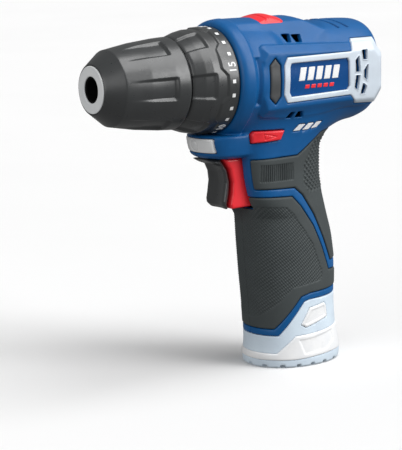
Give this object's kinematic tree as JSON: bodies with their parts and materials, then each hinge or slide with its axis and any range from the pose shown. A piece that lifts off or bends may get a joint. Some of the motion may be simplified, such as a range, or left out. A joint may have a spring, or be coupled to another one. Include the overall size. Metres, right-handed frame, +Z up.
{
  "type": "cordless drill",
  "caption": "Compact cordless drill with keyless chuck, torque collar, planetary gearbox, pistol grip and slide-in battery.",
  "frame": {"origin": "on the flat underside of the battery's foot, in the plane of symmetry, 120 mm behind the chuck's front face", "axes": "+X along the barrel towards the chuck, +Y to the operator's left, +Z up, square to the foot"},
  "size_m": [0.177, 0.0628, 0.1934],
  "materials": {
    "body_blue": "satin, fine moulded grain",
    "black_plastic": "satin",
    "grip_rubber": "matt, fine diamond texture",
    "silver_plastic": "satin silver paint",
    "red_plastic": "satin",
    "pale_blue_plastic": "satin",
    "pale_plastic": "satin",
    "chuck_steel": "fine turned",
    "dark_steel": "hardened",
    "bright_steel": "ground",
    "winding_copper": "lacquered",
    "lens_clear": "clear over a silver reflector",
    "circuit_board": "solder mask",
    "cell_wrap": "shrink wrap",
    "grey_nylon": "glass filled"
  },
  "bodies": {
    "battery": {"battery_shell": "pale_blue_plastic", "battery_band": "pale_plastic", "battery_stem": "black_plastic", "battery_cell_1": "cell_wrap", "battery_cell_2": "cell_wrap", "battery_cell_3": "cell_wrap"},
    "tool": {"housing_left": "body_blue", "housing_right": "body_blue", "side_trim_left": "silver_plastic", "side_trim_right": "silver_plastic", "bumper_insert_left": "grip_rubber", "bumper_insert_right": "grip_rubber", "grip_front_left": "grip_rubber", "grip_front_right": "grip_rubber", "grip_rear_left": "grip_rubber", "grip_rear_right": "grip_rubber", "housing_screw_1": "dark_steel", "housing_screw_2": "dark_steel", "housing_screw_3": "dark_steel", "housing_screw_4": "dark_steel", "housing_screw_5": "dark_steel", "housing_screw_6": "dark_steel", "gearbox_case": "grey_nylon", "ring_gear_rear": "dark_steel", "spindle_bearing": "bright_steel", "clutch_spring": "bright_steel", "motor_can": "dark_steel", "motor_endbell": "grey_nylon", "switch_body": "grey_nylon", "led_lens": "lens_clear", "led_board": "circuit_board", "terminal_block": "grey_nylon"},
    "latch_left": {"battery_latch_left": "pale_plastic"},
    "latch_right": {"battery_latch_right": "pale_plastic"},
    "speed_shifter": {"gear_selector": "red_plastic", "ring_gear_shift": "dark_steel"},
    "trigger": {"trigger": "red_plastic", "trigger_pad": "black_plastic", "trigger_spring": "bright_steel"},
    "direction_switch": {"direction_selector": "red_plastic"},
    "collar": {"torque_collar": "black_plastic"},
    "output": {"spindle": "bright_steel", "chuck_body": "chuck_steel"},
    "sleeve": {"chuck_sleeve": "black_plastic", "chuck_nut": "dark_steel"},
    "jaw_1": {"chuck_jaw_1": "dark_steel"},
    "jaw_2": {"chuck_jaw_2": "dark_steel"},
    "jaw_3": {"chuck_jaw_3": "dark_steel"},
    "planet_front_1": {"planet_front_1": "bright_steel"},
    "planet_front_2": {"planet_front_2": "bright_steel"},
    "planet_front_3": {"planet_front_3": "bright_steel"},
    "rear_stage": {"carrier_rear": "dark_steel"},
    "planet_rear_1": {"planet_rear_1": "bright_steel"},
    "planet_rear_2": {"planet_rear_2": "bright_steel"},
    "planet_rear_3": {"planet_rear_3": "bright_steel"},
    "motor_rotor": {"rotor": "winding_copper", "motor_shaft": "bright_steel"}
  },
  "joints": [
    {"name": "battery_release", "type": "slide", "parent": "battery", "child": "tool", "axis": [0.0958, 0, 0.9954], "range_m": [0, 0.085]},
    {"name": "latch_left_press", "type": "slide", "parent": "battery", "child": "latch_left", "axis": [0, -1, 0], "range_m": [0, 0.0011], "stiffness_N_per_m": 600},
    {"name": "latch_right_press", "type": "slide", "parent": "battery", "child": "latch_right", "axis": [0, 1, 0], "range_m": [0, 0.0011], "stiffness_N_per_m": 600},
    {"name": "speed_shift", "type": "slide", "parent": "tool", "child": "speed_shifter", "axis": [-1, 0, 0], "range_m": [0, 0.006]},
    {"name": "trigger_press", "type": "slide", "parent": "tool", "child": "trigger", "axis": [-1, 0, 0], "range_m": [0, 0.006], "stiffness_N_per_m": 900},
    {"name": "direction_shift", "type": "slide", "parent": "tool", "child": "direction_switch", "axis": [0, -1, 0], "range_m": [-0.0028, 0.0028]},
    {"name": "torque_setting", "type": "hinge", "parent": "tool", "child": "collar", "pos_m": [0.06, 0, 0.16], "axis": [1, 0, 0], "range_deg": [-15, 285]},
    {"name": "chuck_spin", "type": "hinge", "parent": "tool", "child": "output", "pos_m": [0.09, 0, 0.16], "axis": [1, 0, 0], "continuous": true},
    {"name": "sleeve_turn", "type": "hinge", "parent": "output", "child": "sleeve", "pos_m": [0.09, 0, 0.16], "axis": [-1, 0, 0], "range_deg": [0, 2880]},
    {"name": "jaw_1_feed", "type": "slide", "parent": "output", "child": "jaw_1", "axis": [0.9636, 0, -0.2672], "range_m": [0, 0.018]},
    {"name": "planet_front_1_spin", "type": "hinge", "parent": "output", "child": "planet_front_1", "pos_m": [0.0265, 0.0105, 0.16], "axis": [1, 0, 0], "continuous": true},
    {"name": "planet_rear_1_spin", "type": "hinge", "parent": "rear_stage", "child": "planet_rear_1", "pos_m": [0.0155, 0.0105, 0.16], "axis": [1, 0, 0], "continuous": true},
    {"name": "jaw_2_feed", "type": "slide", "parent": "output", "child": "jaw_2", "axis": [0.9636, 0.2314, 0.1336], "range_m": [0, 0.018]},
    {"name": "planet_front_2_spin", "type": "hinge", "parent": "output", "child": "planet_front_2", "pos_m": [0.0265, -0.00525, 0.16909], "axis": [1, 0, 0], "continuous": true},
    {"name": "planet_rear_2_spin", "type": "hinge", "parent": "rear_stage", "child": "planet_rear_2", "pos_m": [0.0155, -0.00525, 0.16909], "axis": [1, 0, 0], "continuous": true},
    {"name": "jaw_3_feed", "type": "slide", "parent": "output", "child": "jaw_3", "axis": [0.9636, -0.2314, 0.1336], "range_m": [0, 0.018]},
    {"name": "planet_front_3_spin", "type": "hinge", "parent": "output", "child": "planet_front_3", "pos_m": [0.0265, -0.00525, 0.15091], "axis": [1, 0, 0], "continuous": true},
    {"name": "planet_rear_3_spin", "type": "hinge", "parent": "rear_stage", "child": "planet_rear_3", "pos_m": [0.0155, -0.00525, 0.15091], "axis": [1, 0, 0], "continuous": true},
    {"name": "carrier_rear_spin", "type": "hinge", "parent": "tool", "child": "rear_stage", "pos_m": [0.02, 0, 0.16], "axis": [1, 0, 0], "continuous": true},
    {"name": "motor_spin", "type": "hinge", "parent": "tool", "child": "motor_rotor", "pos_m": [-0.018, 0, 0.16], "axis": [1, 0, 0], "continuous": true}
  ],
  "couplings": [
    {"joint": "jaw_1_feed", "follows": "sleeve_turn", "m_per_rad": 0.00035611},
    {"joint": "planet_front_1_spin", "follows": "chuck_spin", "ratio": -2.75},
    {"joint": "planet_rear_1_spin", "follows": "chuck_spin", "ratio": -12.833},
    {"joint": "jaw_2_feed", "follows": "sleeve_turn", "m_per_rad": 0.00035611},
    {"joint": "planet_front_2_spin", "follows": "chuck_spin", "ratio": -2.75},
    {"joint": "planet_rear_2_spin", "follows": "chuck_spin", "ratio": -12.833},
    {"joint": "jaw_3_feed", "follows": "sleeve_turn", "m_per_rad": 0.00035611},
    {"joint": "planet_front_3_spin", "follows": "chuck_spin", "ratio": -2.75},
    {"joint": "planet_rear_3_spin", "follows": "chuck_spin", "ratio": -12.833},
    {"joint": "carrier_rear_spin", "follows": "chuck_spin", "ratio": 4.6667},
    {"joint": "motor_spin", "follows": "chuck_spin", "ratio": 21.778}
  ]
}
